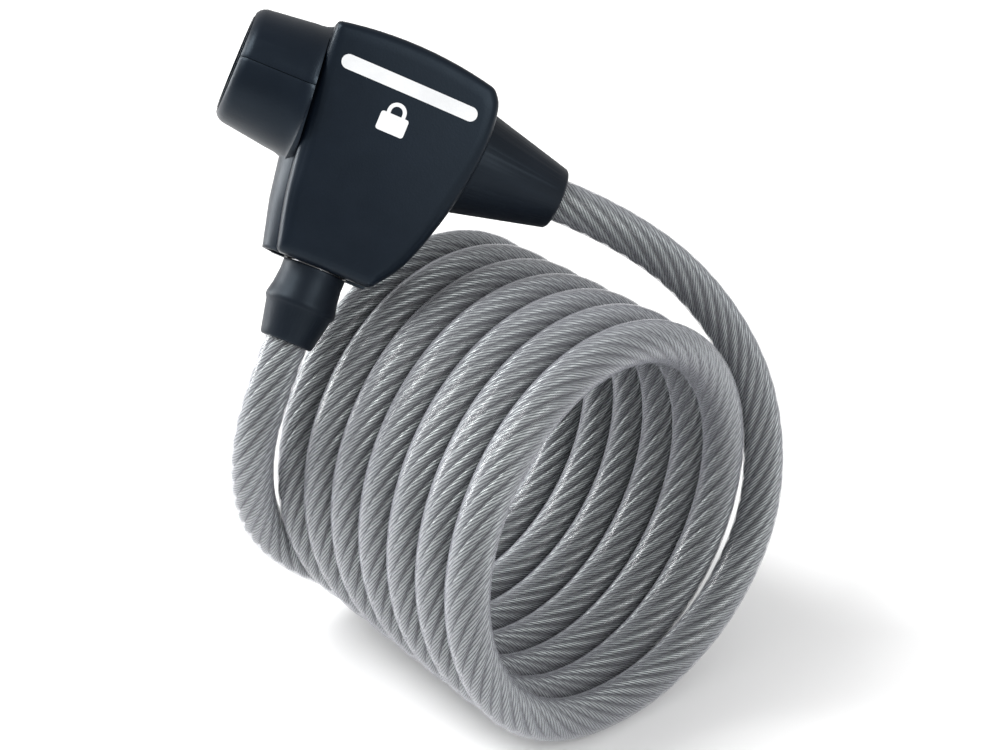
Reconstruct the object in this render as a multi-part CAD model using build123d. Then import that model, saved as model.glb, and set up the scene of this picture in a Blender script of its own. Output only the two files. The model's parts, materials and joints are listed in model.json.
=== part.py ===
"""Spiral cable lock for a bicycle: a T-shaped lock head, its plug, and a coiled steel cable.

Millimetres, +Z up. The coil lies on its side on the floor z = 0, with its axis along X, and the
origin is the point of the floor under the middle of the coil. The head is drawn in a frame of its own
(x along the key barrel towards the cable boot, z up the plug, face towards -y) and then placed.
"""
from build123d import *
from math import cos, pi, radians, sin, tan
import os

# ---- cable and its route -------------------------------------------------------------------------
CABLE_R = 4.0                     # clear sheath over a stranded steel rope
TURN_R = 36.2                     # first turn, to the cable's centre
TURN_SHRINK = 0.15                # each turn is this much smaller in radius than the one before
TURN_PITCH = 8.05
PITCH_GROWTH = 0.04
TURN_LEAN = 3.76                  # the turns lean over by this many degrees
COIL_FRONT_X = 30.0
COIL_SIDE_Y = -1.1
COIL_DRIFT_Y = 0.45
STEPS_PER_TURN = 16
COIL_STEPS = 110                  # points of the coil, a little under seven turns
COIL_SOLID_X = (-27.0, 29.0)      # extent of the plain solid that stands for the turns
BOOT_EXIT_RUN = 16.0
PLUG_ENTRY_RUN = 13.0
LEAD_POINTS = [(17.5, 37.5, 70.5), (26.5, 44.5, 51.5), (33.0, 41.5, 30.5), (35.5, 28.5, 14.5),
               (35.3, 13.0, 5.6), (34.7, -1.1, 3.6), (34.0, -15.2, 6.1), (33.0, -27.2, 14.1),
               (31.7, -35.2, 26.1)]
TAIL_POINTS = [(-26.3, -25.0, 14.5), (-27.0, -36.3, 27.0), (-23.0, -42.8, 42.5)]

# ---- head ----------------------------------------------------------------------------------------
HEAD_ORIGIN = (-26.01, -10.73, 105.34)         # where the barrel's axis crosses the plug's
BARREL_AXIS = (0.6571, 0.6531, -0.3763)
PLUG_AXIS = (-0.1269, 0.5879, 0.7989)
BODY_TOP, BODY_BOTTOM = 12.3, -28.7
BODY_CROWN = 13.9
HALF_DEPTH_TOP, HALF_DEPTH_BOTTOM = 12.6, 7.6
LEFT_EDGE = [(-13.5, BODY_TOP), (-13.1, 3.4), (-12.3, -5.0), (-11.2, -13.0), (-10.1, -20.0), (-8.0, BODY_BOTTOM)]
RIGHT_EDGE = [(9.8, BODY_BOTTOM), (13.9, -22.6), (17.1, -13.0), (18.9, -4.0), (19.4, 3.0), (18.6, 9.4), (16.8, BODY_TOP)]
COVER_DEPTH = 3.6                 # how far the face and back covers wrap round the sides
LIP = 0.4                         # the covers stand this far proud of the housing's sides
WALL = 1.4
GAP = 0.1
SEAM = 0.05                       # half the gap at the parting line
COVER_ROUNDING = 1.5
BORE_BARREL = 9.5
LIP_LENGTH = 3.6                  # depth of the key recess
LINER_WALL = 0.8
MOUTH_X, MOUTH_R = -27.0, 7.9
BARREL_R = (10.9, 12.0, 13.5)     # at the mouth, before the flare and at the body
FLARE_X = (-16.0, -12.6)
BOOT_X = (17.5, 36.5)
BOOT_R = (10.3, 5.8)

# ---- lock works ----------------------------------------------------------------------------------
CYLINDER_R, CYLINDER_X = 8.0, (-22.0, -8.5)
CORE_R, CORE_X = 5.5, (-21.8, -11.8)
KEY_SLOT = (1.6, 7.0)
WAFER_COUNT, WAFER_PITCH, WAFER_T = 5, 1.5, 1.0
CAM_R, CAM_X = 4.6, (-11.7, -11.0)
CAM_STEPS = 9
BOLT_TRAVEL = 2.0
BOLT_X, BOLT_HALF = (-8.3, -5.0), (4.0, 1.9)
EAR_Y, EAR_X = 7.6, -6.8
SPRING_Y, SPRING_R, SPRING_WIRE = 5.9, 1.2, 0.25
SPRING_END_X = -2.4
PIN_R, PIN_TIP = 4.5, 6.5
GROOVE_R, GROOVE_HALF = 2.8, 2.3
BORE_R = 4.6
BUSH_R, BUSH_TOP = 6.0, -22.2
PIN_GROOVE_X = -13.1
FERRULE_END = 27.5
SCREW_PLACES = [(10.5, 8.6), (8.6, -16.0)]
FERRULE_R = 5.6
SLEEVE_TOP, SLEEVE_RIDGE, SLEEVE_END = -28.9, -35.8, -43.0

HEAD = Plane(origin=HEAD_ORIGIN, x_dir=BARREL_AXIS, z_dir=PLUG_AXIS)


def write(node, shape, in_head=True):
    """Places a shape that was drawn in the head's frame and writes it as one node."""
    placed = HEAD.location * shape if in_head else shape
    export_step(placed, f"parts/{node}.step")


def in_world(x, y, z):
    """A point of the head's frame, as a vector of the object's frame."""
    return HEAD.from_local_coords(Vector(x, y, z))


def rod(start, end, radius):
    """A solid cylinder between two points."""
    line = Line(start, end)
    return extrude(Plane(origin=start, z_dir=line % 0) * Circle(radius), amount=line.length)


def tube(start, end, outer, inner):
    """A straight tube between two points."""
    return rod(start, end, outer) - rod(start, end, inner)


def turned_x(profile):
    """Turns an outline of (x, radius) points round the barrel's axis."""
    return revolve(Plane.XZ * make_face(Polyline(*profile, close=True)), axis=Axis.X)


def turned_z(profile):
    """Turns an outline of (radius, height) points round the plug's axis."""
    return revolve(Plane.XZ * make_face(Polyline(*profile, close=True)), axis=Axis.Z)


# ---- cable ---------------------------------------------------------------------------------------
def coil_point(step):
    """A control point of the coil: the turns shrink, drift and lean a little."""
    turns = step / STEPS_PER_TURN
    angle = 2 * pi * turns
    radius = TURN_R - TURN_SHRINK * turns
    lean = radians(TURN_LEAN)
    outside = radius / cos(pi / STEPS_PER_TURN)
    x = COIL_FRONT_X - TURN_PITCH * turns - PITCH_GROWTH * turns ** 2 - radius * sin(lean) * sin(angle)
    y = COIL_SIDE_Y + COIL_DRIFT_Y * turns - outside * cos(angle)
    z = radius + CABLE_R + outside * sin(angle) * cos(lean)
    return Vector(x, y, z)


def cable_tube(name, points):
    """Straight runs joined by tangent arcs, each as large as its two runs allow."""
    radii = []
    for before, here, after in zip(points, points[1:], points[2:]):
        first, second = here - before, after - here
        turn = radians(first.get_angle(second))
        radii.append(0.45 * min(first.length, second.length) / tan(turn / 2))
    path = FilletPolyline(*points, radius=radii)
    solid = sweep(Plane(path @ 0, z_dir=path % 0) * Circle(CABLE_R), path=path)
    print(name, "length", round(path.length, 1), "radii", [round(r, 1) for r in radii],
          "volume ratio", round(solid.volume / (pi * CABLE_R ** 2 * path.length), 4))
    return solid


def cable_lead():
    """From the boot's mouth, out and down round the coil, and under it into the first turn."""
    start = in_world(BOOT_X[1], 0, 0)
    second = in_world(BOOT_X[1] + BOOT_EXIT_RUN, 0, 0)
    return cable_tube("lead", [start, second, *[Vector(*p) for p in LEAD_POINTS], coil_point(0), coil_point(1)])


def cable_tail():
    """From the last turn up into the plug sleeve, ending inside the ferrule."""
    start = coil_point(COIL_STEPS - 2)
    below = in_world(0, 0, SLEEVE_END - PLUG_ENTRY_RUN)
    end = in_world(0, 0, SLEEVE_END + 9.0)
    return cable_tube("tail", [start, coil_point(COIL_STEPS - 1), *[Vector(*p) for p in TAIL_POINTS], below, end])


def coil_section(x, offset):
    """A round section of the coil at one place along its axis, offset from the cable's centre."""
    turns = (COIL_FRONT_X - x) / TURN_PITCH
    radius = TURN_R - TURN_SHRINK * turns
    centre = (x, COIL_SIDE_Y + COIL_DRIFT_Y * turns, radius + CABLE_R)
    return Plane(origin=centre, x_dir=(0, 1, 0), z_dir=(1, 0, 0)) * Circle(radius + offset)


def cable_coil():
    """The outer shape of the turns, as a hollow drum whose ends lean as the turns do."""
    drum = loft([coil_section(36, CABLE_R - 0.3), coil_section(-36, CABLE_R - 0.3)])
    drum -= loft([coil_section(37, -CABLE_R), coil_section(-37, -CABLE_R)])
    low, high = COIL_SOLID_X
    slab = Location((0, 0, TURN_R + CABLE_R), (0, -TURN_LEAN, 0)) * Box(high - low, 200, 200).moved(Location(((low + high) / 2, 0, 0)))
    return drum & slab


# ---- plug ----------------------------------------------------------------------------------------
def plug_pin():
    """Hardened pin with a pointed tip, a groove for the bolt and a stem that the ferrule grips."""
    profile = [(0, PIN_TIP), (2.6, PIN_TIP), (PIN_R, PIN_TIP - 2.2), (PIN_R, GROOVE_HALF), (GROOVE_R, GROOVE_HALF),
               (GROOVE_R, -GROOVE_HALF), (PIN_R, -GROOVE_HALF), (PIN_R, SLEEVE_TOP), (3.9, SLEEVE_TOP - 0.05),
               (3.9, -33.2), (0, -33.2)]
    return turned_z(profile)


def plug_ferrule():
    """Steel ferrule crimped on the cable's end and on the pin's stem."""
    body = tube((0, 0, -38.8), (0, 0, SLEEVE_TOP - 0.1), 4.9, CABLE_R + 0.05)
    grooves = [tube((0, 0, h), (0, 0, h + 0.5), 5.2, 4.6) for h in (-31.2, -33.4, -35.6)]
    return body - grooves


def plug_sleeve():
    """Moulded grip sleeve with a ridge for the fingers."""
    top, ridge, end = SLEEVE_TOP, SLEEVE_RIDGE, SLEEVE_END
    profile = [(5.0, top), (5.9, top), (5.85, top - 2.0), (6.15, ridge + 2.2), (6.6, ridge + 0.3), (6.6, ridge - 0.3),
               (6.2, ridge - 1.0), (4.95, end + 0.4), (4.7, end), (CABLE_R + 0.1, end), (CABLE_R + 0.1, -38.9), (5.0, -38.9)]
    return turned_z(profile)


# ---- housing -------------------------------------------------------------------------------------
def body_outline(inset):
    """Front view of the wedge-shaped body, with a crowned top and bowed sides, drawn in by an inset."""
    def drawn_in(points, side):
        return [(x - side * inset, h - inset * (h == BODY_TOP) + inset * (h == BODY_BOTTOM)) for x, h in points]
    left, right = drawn_in(LEFT_EDGE, -1), drawn_in(RIGHT_EDGE, 1)
    crown = ThreePointArc(right[-1], ((left[0][0] + right[-1][0]) / 2, BODY_CROWN - inset), left[0])
    return make_face([crown, Spline(*left), Line(left[-1], right[0]), Spline(*right)])


def wedge(inset, face_inset=None):
    """The body's solid, drawn in from its sides and ends by one inset and from its faces by another."""
    faces = inset if face_inset is None else face_inset
    top, bottom = HALF_DEPTH_TOP - faces, HALF_DEPTH_BOTTOM - faces
    slope = (HALF_DEPTH_TOP - HALF_DEPTH_BOTTOM) / (BODY_TOP - BODY_BOTTOM)
    rise, drop = 5.0, 5.0
    side = Polyline((top + slope * rise, BODY_TOP + rise), (-top - slope * rise, BODY_TOP + rise),
                    (-bottom + slope * drop, BODY_BOTTOM - drop), (bottom - slope * drop, BODY_BOTTOM - drop), close=True)
    front = extrude(Plane.XZ * body_outline(inset), amount=30, both=True)
    return front & extrude(Plane.YZ * make_face(side), amount=40, both=True)


def boot_shape(grow=0.0):
    """Outer shape of the cable boot, a cone with a chamfered end, grown for the hole that it passes."""
    start, end = BOOT_X
    base, tip = BOOT_R
    return turned_x([(start, 0), (start, base + grow), (end - 0.5, tip + grow), (end, tip - 0.5 + grow), (end, 0)])


def openings():
    """What the housing, its covers and the block leave clear: barrel, boot and plug bush."""
    barrel = rod((-40, 0, 0), (-5, 0, 0), BORE_BARREL)
    bush = rod((0, 0, BODY_BOTTOM - 5), (0, 0, BODY_BOTTOM + 8), BUSH_R + 0.05)
    return [barrel, boot_shape(GAP), bush]


def body_cover(side):
    """The face cover (side -1) or the back cover (side +1): a tray with rounded edges."""
    half = Location((0, side * 25, 0)) * Box(100, 50, 100)
    tray = (wedge(0) - wedge(-4, COVER_DEPTH)) & half
    face = tray.faces().filter_by(lambda f: abs(f.normal_at().Y) > 0.9).sort_by(Axis.Y)[0 if side < 0 else -1]
    tray = fillet(face.edges(), COVER_ROUNDING)
    cover = tray - wedge(WALL) - openings()
    return cover - screw_set(0.1) if side > 0 else cover


def barrel():
    """The key barrel, from its rounded mouth to the flare that meets the body, bored for the works."""
    mouth, waist, root = BARREL_R
    start, end = FLARE_X
    rounding = 2.6
    quarter = [radians(15 * k) for k in range(7)]
    corner = [(MOUTH_X + rounding * (1 - cos(a)), mouth - rounding * (1 - sin(a))) for a in quarter]
    flare = [(start + (end - start) * sin(a), waist + (root - waist) * (1 - cos(a))) for a in quarter]
    seat_end = CYLINDER_X[0] - 0.05
    seat_r = MOUTH_R + LINER_WALL + 0.05
    return turned_x([(MOUTH_X, seat_r), *corner, *flare, (-9.0, root), (-9.0, BORE_BARREL),
                     (seat_end, BORE_BARREL), (seat_end, seat_r)])


def housing_half(side):
    """One moulded half of the housing: half the barrel and half of the band between the covers."""
    covers = wedge(-GAP, -4) - wedge(-4, COVER_DEPTH + GAP)
    whole = barrel() + wedge(LIP) - covers - wedge(LIP + WALL, -4) - openings()
    keep = Location((0, 0, side * (50 + SEAM))) * Box(120, 100, 100)
    half = whole & keep
    return half.solids().sort_by(SortBy.VOLUME)[-1]


def cable_boot():
    """Tapered boot that the cable leaves by, gripping the anchor ferrule."""
    start, end = BOOT_X
    return boot_shape() - rod((start, 0, 0), (FERRULE_END + 0.2, 0, 0), FERRULE_R + 0.05) \
        - rod((start, 0, 0), (end, 0, 0), CABLE_R + 0.1)


# ---- lock works ----------------------------------------------------------------------------------
def screw_set(grow=0.0):
    """Two screws that hold the back cover on the block."""
    screws = []
    for x, h in SCREW_PLACES:
        face = HALF_DEPTH_BOTTOM + (h - BODY_BOTTOM) * (HALF_DEPTH_TOP - HALF_DEPTH_BOTTOM) / (BODY_TOP - BODY_BOTTOM)
        head = rod((x, face - 1.2, h), (x, face + 0.3 + grow * 8, h), 2.3 + grow)
        if not grow:
            head = rod((x, face - 1.2, h), (x, face - 0.3, h), 2.3) - Location((x, face - 0.3, h)) * Box(3.4, 0.9, 0.7)
        screws.append(head + rod((x, face - 9, h), (x, face - 1.2, h), 1.3 + grow / 2))
    return screws


def lock_block():
    """Die-cast block that carries the cylinder, the bolt, the plug bore and the cable anchor."""
    inset = LIP + WALL + GAP
    body = wedge(inset, WALL + GAP) - Location((0, 0, BUSH_TOP - 25 + GAP)) * Box(100, 100, 50)
    nose = rod((CYLINDER_X[0], 0, 0), (-8, 0, 0), BORE_BARREL - 0.1)
    block = body + nose
    block -= rod((-30, 0, 0), (CYLINDER_X[1] + 0.05, 0, 0), CYLINDER_R + 0.05)
    block -= rod((0, 0, -40), (0, 0, PIN_TIP + 0.8), BORE_R)
    block -= rod((6.8, 0, 0), (40, 0, 0), FERRULE_R + 0.05)
    block -= boot_shape(GAP)
    block -= rod((11, -20, -FERRULE_R), (11, 20, -FERRULE_R), 1.05)
    block -= rod((-17.5, 0, -7), (-17.5, 0, -12), 1.3)
    block -= screw_set(0.1)
    return block - bolt_pocket()


def bolt_pocket():
    """Space that the bolt, its ear and the return spring move in."""
    back, tip = BOLT_X
    wide, tall = BOLT_HALF
    channel = box_between((back - 0.2, -wide - 0.15, -tall - 0.15), (0, wide + 0.15, tall + 0.15))
    ear = box_between((back - 0.2, wide, -tall - 0.15), (EAR_X + BOLT_TRAVEL + 0.2, EAR_Y + 0.15, tall + 0.15))
    return [channel, ear, rod((back, SPRING_Y, 0), (SPRING_END_X, SPRING_Y, 0), SPRING_R + 0.4)]


def box_between(low, high):
    """A box from its lowest corner to its highest."""
    size = [b - a for a, b in zip(low, high)]
    centre = [(a + b) / 2 for a, b in zip(low, high)]
    return Location(tuple(centre)) * Box(*size)


def lock_cylinder():
    """Brass cylinder body, bored for the turning core and drilled for its two retainers."""
    front, back = CYLINDER_X
    body = tube((front, 0, 0), (back, 0, 0), CYLINDER_R, CORE_R + 0.05)
    return body - rod((-17.5, 0, -6.9), (-17.5, 0, -12), 1.3) - rod((PIN_GROOVE_X, 0, -4), (PIN_GROOVE_X, 0, -12), 0.75)


def wafer_places():
    """Positions of the wafers along the core."""
    return [CORE_X[0] + 1.2 + WAFER_PITCH * k for k in range(WAFER_COUNT)]


def key_core():
    """Turning core with a keyway, wafer slots, a retaining groove and a tail boss."""
    front, back = CORE_X
    core = rod((front, 0, 0), (back, 0, 0), CORE_R) + rod((back, 0, 0), (CAM_X[1] + 0.6, 0, 0), 2.2)
    core -= box_between((front - 1, -KEY_SLOT[0] / 2, -KEY_SLOT[1] / 2), (back - 0.8, KEY_SLOT[0] / 2, KEY_SLOT[1] / 2))
    core -= [box_between((x - 0.55, -2.6, -4.8), (x + 0.55, 2.6, 4.8)) for x in wafer_places()]
    return core - tube((PIN_GROOVE_X - 0.8, 0, 0), (PIN_GROOVE_X + 0.8, 0, 0), 7, 4.85)


def wafers():
    """Brass wafers in the core, each with its key window at its own height."""
    made = []
    for k, x in enumerate(wafer_places()):
        shift = 0.3 * ((2 * k) % 3 - 1)
        plate = box_between((x - WAFER_T / 2, -2.5, -4.4), (x + WAFER_T / 2, 2.5, 4.4))
        made.append(plate - box_between((x - 1, -0.95, -3.3 + shift), (x + 1, 0.95, 3.3 + shift)))
    return made


def dust_shutter():
    """Slotted disc in front of the core."""
    disc = rod((CORE_X[0] - 0.7, 0, 0), (CORE_X[0] - 0.1, 0, 0), CORE_R - 0.1)
    return disc - box_between((CORE_X[0] - 2, -0.65, -3.3), (CORE_X[0] + 1, 0.65, 3.3))


def key_bezel():
    """Liner of the key recess: a full ring in the barrel's mouth, with a floor round the core."""
    floor = MOUTH_X + LIP_LENGTH
    end = CYLINDER_X[0] - 0.05
    rim = MOUTH_R + LINER_WALL
    return turned_x([(MOUTH_X + 0.1, MOUTH_R), (MOUTH_X + 0.1, rim), (end, rim), (end, 5.8), (floor, 5.8), (floor, MOUTH_R)])


def drive_cam():
    """Cam on the core's tail: a stepped ramp that pushes the bolt out as the core turns."""
    base, face = CAM_X
    cam = tube((base, 0, 0), (face, 0, 0), CAM_R, 2.25)
    for k in range(CAM_STEPS):
        low, high = radians(15 + 90 / CAM_STEPS * k), radians(15 + 90 / CAM_STEPS * (k + 1))
        sector = Plane.YZ * make_face(Polyline((0, 0), (6 * cos(low), -6 * sin(low)), (6 * cos(high), -6 * sin(high)), close=True))
        height = BOLT_TRAVEL * (k + 1) / CAM_STEPS
        ring = tube((face, 0, 0), (face + height, 0, 0), CAM_R, 2.5)
        cam += ring & Location((face - 1, 0, 0)) * extrude(sector, amount=8)
    return cam


def latch_bolt():
    """Bolt that enters the plug's groove, with a follower for the cam and an ear for its spring."""
    back, tip = BOLT_X
    wide, tall = BOLT_HALF
    bolt = box_between((back, -wide, -tall), (tip, wide, tall)) + box_between((back, 0, -tall), (EAR_X, EAR_Y, tall))
    return bolt + rod((CAM_X[1] + 0.35, 3.4, 0), (back, 3.4, 0), 0.7)


def latch_spring():
    """Return spring between the bolt's ear and the block."""
    length = SPRING_END_X - EAR_X - 0.1
    path = Helix(pitch=(length - 2 * SPRING_WIRE) / 5, height=length - 2 * SPRING_WIRE, radius=SPRING_R)
    coil = sweep(Plane(path @ 0, z_dir=path % 0) * Circle(SPRING_WIRE), path=path, is_frenet=True)
    return Location((EAR_X + 0.05 + SPRING_WIRE, SPRING_Y, 0), (0, 90, 0)) * coil


def socket_bush():
    """Steel bush that the plug enters by, with a seat for the seal."""
    seat = tube((0, 0, BODY_BOTTOM), (0, 0, BODY_BOTTOM + 1.3), 5.55, 4)
    return tube((0, 0, BODY_BOTTOM), (0, 0, BUSH_TOP), BUSH_R, BORE_R + 0.05) - seat


def socket_seal():
    """Rubber ring that keeps water out of the socket."""
    return tube((0, 0, BODY_BOTTOM + 0.1), (0, 0, BODY_BOTTOM + 1.25), 5.5, PIN_R + 0.1)


def anchor_ferrule():
    """Steel ferrule crimped on the cable's other end, grooved for the cross pin."""
    body = tube((7, 0, 0), (FERRULE_END, 0, 0), FERRULE_R, CABLE_R + 0.02)
    crimps = [tube((x, 0, 0), (x + 0.8, 0, 0), 7, FERRULE_R - 0.4) for x in (17.5, 20.5, 23.5)]
    return body - tube((9.9, 0, 0), (12.1, 0, 0), 7, 4.5) - crimps


def main():
    """Builds every node and writes it."""
    os.makedirs("parts", exist_ok=True)
    write("cable_lead", cable_lead(), in_head=False)
    write("cable_coil", cable_coil(), in_head=False)
    write("cable_tail", cable_tail(), in_head=False)
    write("cable_root", rod((8, 0, 0), (BOOT_X[1], 0, 0), CABLE_R))
    write("plug_pin", plug_pin())
    write("plug_ferrule", plug_ferrule())
    write("plug_sleeve", plug_sleeve())
    write("face_cover", body_cover(-1))
    write("back_cover", body_cover(1))
    write("upper_housing", housing_half(1))
    write("lower_housing", housing_half(-1))
    write("cable_boot", cable_boot())
    write("lock_block", lock_block())
    write("lock_cylinder", lock_cylinder())
    write("key_core", key_core())
    write("wafers", Compound(children=[*wafers()]))
    write("dust_shutter", dust_shutter())
    write("key_bezel", key_bezel())
    write("drive_cam", drive_cam())
    write("latch_bolt", latch_bolt())
    write("latch_spring", latch_spring())
    write("socket_bush", socket_bush())
    write("socket_seal", socket_seal())
    write("anchor_ferrule", anchor_ferrule())
    write("anchor_pin", rod((11, -7.8, -FERRULE_R), (11, 7.8, -FERRULE_R), 1.0))
    write("cylinder_set_screw", rod((-17.5, 0, -7.0), (-17.5, 0, -9.3), 1.25))
    write("core_retaining_pin", rod((PIN_GROOVE_X, 0, -4.95), (PIN_GROOVE_X, 0, -7.9), 0.7))
    write("cover_screws", Compound(children=[*screw_set()]))


main()
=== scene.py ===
"""Looks of a spiral cable lock for a bicycle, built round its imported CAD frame.

The object is a T-shaped lock head with a key barrel, a plug that enters the head from below, and one
long steel cable in a clear vinyl sheath: it leaves the head by a tapered boot, lies in a coil of nearly
seven turns and comes back up into the plug. Everything is in metres, in the frame's own coordinates.
"""

from __future__ import annotations

import json
import logging
import math
from dataclasses import dataclass, field
from enum import Enum
from typing import Iterable

import bmesh
import bpy
import numpy as np
from mathutils import Matrix, Vector

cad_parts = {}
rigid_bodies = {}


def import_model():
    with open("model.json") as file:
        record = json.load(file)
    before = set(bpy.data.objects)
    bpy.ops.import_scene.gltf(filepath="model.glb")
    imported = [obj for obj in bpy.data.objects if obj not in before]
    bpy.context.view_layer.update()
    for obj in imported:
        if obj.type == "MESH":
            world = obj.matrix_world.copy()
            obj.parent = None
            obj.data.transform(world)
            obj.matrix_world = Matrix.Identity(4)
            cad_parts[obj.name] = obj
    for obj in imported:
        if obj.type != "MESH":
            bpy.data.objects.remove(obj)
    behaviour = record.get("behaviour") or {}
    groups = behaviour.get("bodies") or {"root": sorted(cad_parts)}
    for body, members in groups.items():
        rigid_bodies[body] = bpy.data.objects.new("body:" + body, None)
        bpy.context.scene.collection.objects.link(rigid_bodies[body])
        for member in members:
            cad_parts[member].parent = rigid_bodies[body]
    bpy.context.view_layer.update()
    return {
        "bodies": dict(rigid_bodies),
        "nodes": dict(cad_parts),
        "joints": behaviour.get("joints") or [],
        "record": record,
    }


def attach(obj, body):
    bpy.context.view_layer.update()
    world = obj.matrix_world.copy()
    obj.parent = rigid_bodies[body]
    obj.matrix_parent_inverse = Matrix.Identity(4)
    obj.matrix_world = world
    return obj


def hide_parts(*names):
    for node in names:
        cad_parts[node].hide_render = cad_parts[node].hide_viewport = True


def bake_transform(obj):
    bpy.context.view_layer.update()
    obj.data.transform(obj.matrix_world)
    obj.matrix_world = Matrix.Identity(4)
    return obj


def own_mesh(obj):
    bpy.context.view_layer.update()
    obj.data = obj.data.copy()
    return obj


LOG = logging.getLogger("cable_lock")
MM = 0.001
Colour = tuple[float, float, float, float]
Socket = str | int


def placed(name: str, data: bpy.types.ID) -> bpy.types.Object:
    """Makes an object and links it to the scene.

    Args:
        name: name of the object.
        data: the mesh, curve, light or camera that it shows.

    Returns:
        The object, at the origin.
    """
    made = bpy.data.objects.new(name, data)
    bpy.context.scene.collection.objects.link(made)
    return made


def closed_mesh(
    work: bmesh.types.BMesh,
    name: str,
    material: bpy.types.Material,
    smooth: bool = True,
    triangles: bool = False,
) -> bpy.types.Mesh:
    """Turns a closed working mesh into a mesh whose faces point outwards.

    Args:
        work: the working mesh, which is freed.
        name: name of the mesh.
        material: its material.
        smooth: whether its faces are shaded smooth.
        triangles: whether its faces are cut into triangles.

    Returns:
        The mesh.
    """
    bmesh.ops.recalc_face_normals(work, faces=work.faces)
    if triangles:
        bmesh.ops.triangulate(work, faces=work.faces)
    for face in work.faces:
        face.smooth = smooth
    mesh = bpy.data.meshes.new(name)
    work.to_mesh(mesh)
    work.free()
    mesh.materials.append(material)
    return mesh


def bridge(work: bmesh.types.BMesh, low: list[bmesh.types.BMVert], high: list[bmesh.types.BMVert]) -> None:
    """Joins two closed loops of the same length by a band of faces.

    Args:
        work: the mesh to add to.
        low: the first loop.
        high: the second loop.
    """
    count = len(low)
    for k in range(count):
        after = (k + 1) % count
        work.faces.new((low[k], low[after], high[after], high[k]))


def polyline(name: str, kind: str, points: Iterable[Vector]) -> bpy.types.Object:
    """Makes a curve with one spline through or towards points, not linked to the scene.

    Args:
        name: name of the curve.
        kind: the spline's type, POLY or NURBS.
        points: its points in metres.

    Returns:
        A curve object with no thickness.
    """
    places = list(points)
    data = bpy.data.curves.new(name, "CURVE")
    data.dimensions = "3D"
    spline = data.splines.new(kind)
    spline.points.add(len(places) - 1)
    for target, place in zip(spline.points, places):
        target.co = (*place, 1.0)
    return bpy.data.objects.new(name, data)


class Slot(Enum):
    """The record's material slots."""

    CABLE = "cable"
    HOUSING = "housing"
    BOOT = "boot"
    STEEL = "steel"
    DIE_CAST = "die_cast"
    BRASS = "brass"
    CHROME = "chrome"
    RUBBER = "rubber"


class NodeBench:
    """A node tree under construction, with short ways to add nodes and join them."""

    def __init__(self, tree: bpy.types.NodeTree) -> None:
        """Starts work on a tree.

        Args:
            tree: the tree to add nodes to.
        """
        self.tree = tree

    def add(self, kind: str, **settings: object) -> bpy.types.Node:
        """Adds a node.

        Args:
            kind: the node's type.
            settings: properties to set on it.

        Returns:
            The new node.
        """
        node = self.tree.nodes.new(kind)
        for key, value in settings.items():
            setattr(node, key, value)
        return node

    def join(self, source: bpy.types.Node, output: Socket, target: bpy.types.Node, socket: Socket) -> None:
        """Links one node's output to another's input."""
        self.tree.links.new(source.outputs[output], target.inputs[socket])


# ---- finishes ------------------------------------------------------------------------------------
class Shader(NodeBench):
    """A material under construction, round one Principled shader."""

    TINT_ENDS = (0.3, 0.7)

    def __init__(self, name: str) -> None:
        """Starts a material with one Principled shader.

        Args:
            name: name of the material.
        """
        self.material = bpy.data.materials.new(name)
        self.material.use_nodes = True
        super().__init__(self.material.node_tree)
        self.tree.nodes.clear()
        self.surface = self.add("ShaderNodeBsdfPrincipled")
        output = self.add("ShaderNodeOutputMaterial")
        self.join(self.surface, "BSDF", output, "Surface")

    def set(self, **values: object) -> "Shader":
        """Sets the Principled shader's own sockets, with underscores for spaces.

        Args:
            values: socket names and their values.

        Returns:
            The shader itself.
        """
        for key, value in values.items():
            self.surface.inputs[key.replace("_", " ")].default_value = value
        return self

    def noise(self, scale: float, detail: float = 3.0, roughness: float = 0.55) -> bpy.types.Node:
        """Adds a noise texture on Object coordinates.

        Args:
            scale: the noise's scale, per metre.
            detail: octaves.
            roughness: how strong the fine octaves are.

        Returns:
            The noise node.
        """
        node = self.add("ShaderNodeTexNoise")
        node.inputs["Scale"].default_value = scale
        node.inputs["Detail"].default_value = detail
        node.inputs["Roughness"].default_value = roughness
        self.join(self.add("ShaderNodeTexCoord"), "Object", node, "Vector")
        return node

    def spread(self, source: bpy.types.Node, output: Socket, low: float, high: float) -> bpy.types.Node:
        """Maps a value from 0..1 to low..high.

        Args:
            source: node that gives the value.
            output: its output.
            low: result at 0.
            high: result at 1.

        Returns:
            The Map Range node.
        """
        node = self.add("ShaderNodeMapRange")
        node.inputs["To Min"].default_value = low
        node.inputs["To Max"].default_value = high
        self.join(source, output, node, "Value")
        return node

    def gloss(self, scale: float, detail: float, rough: tuple[float, float]) -> None:
        """Makes the roughness uneven.

        Args:
            scale: scale of the patches, per metre.
            detail: octaves.
            rough: least and greatest roughness.
        """
        self.join(self.spread(self.noise(scale, detail), "Fac", *rough), "Result", self.surface, "Roughness")

    def bump(self, source: bpy.types.Node, output: Socket, height: float, strength: float) -> None:
        """Lays a bump on the surface.

        Args:
            source: node that gives the height.
            output: its output.
            height: height in metres.
            strength: strength of the effect.
        """
        node = self.add("ShaderNodeBump")
        node.inputs["Distance"].default_value = height
        node.inputs["Strength"].default_value = strength
        self.join(source, output, node, "Height")
        self.join(node, "Normal", self.surface, "Normal")

    def tint(self, source: bpy.types.Node, output: Socket, dark: Colour, light: Colour) -> None:
        """Colours the surface between two colours by a value.

        Args:
            source: node that gives the value.
            output: its output.
            dark: colour at 0.
            light: colour at 1.
        """
        ramp = self.add("ShaderNodeValToRGB")
        for stop, colour, place in zip(ramp.color_ramp.elements, (dark, light), self.TINT_ENDS):
            stop.color = colour
            stop.position = place
        self.join(source, output, ramp, "Fac")
        self.join(ramp, "Color", self.surface, "Base Color")


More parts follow.
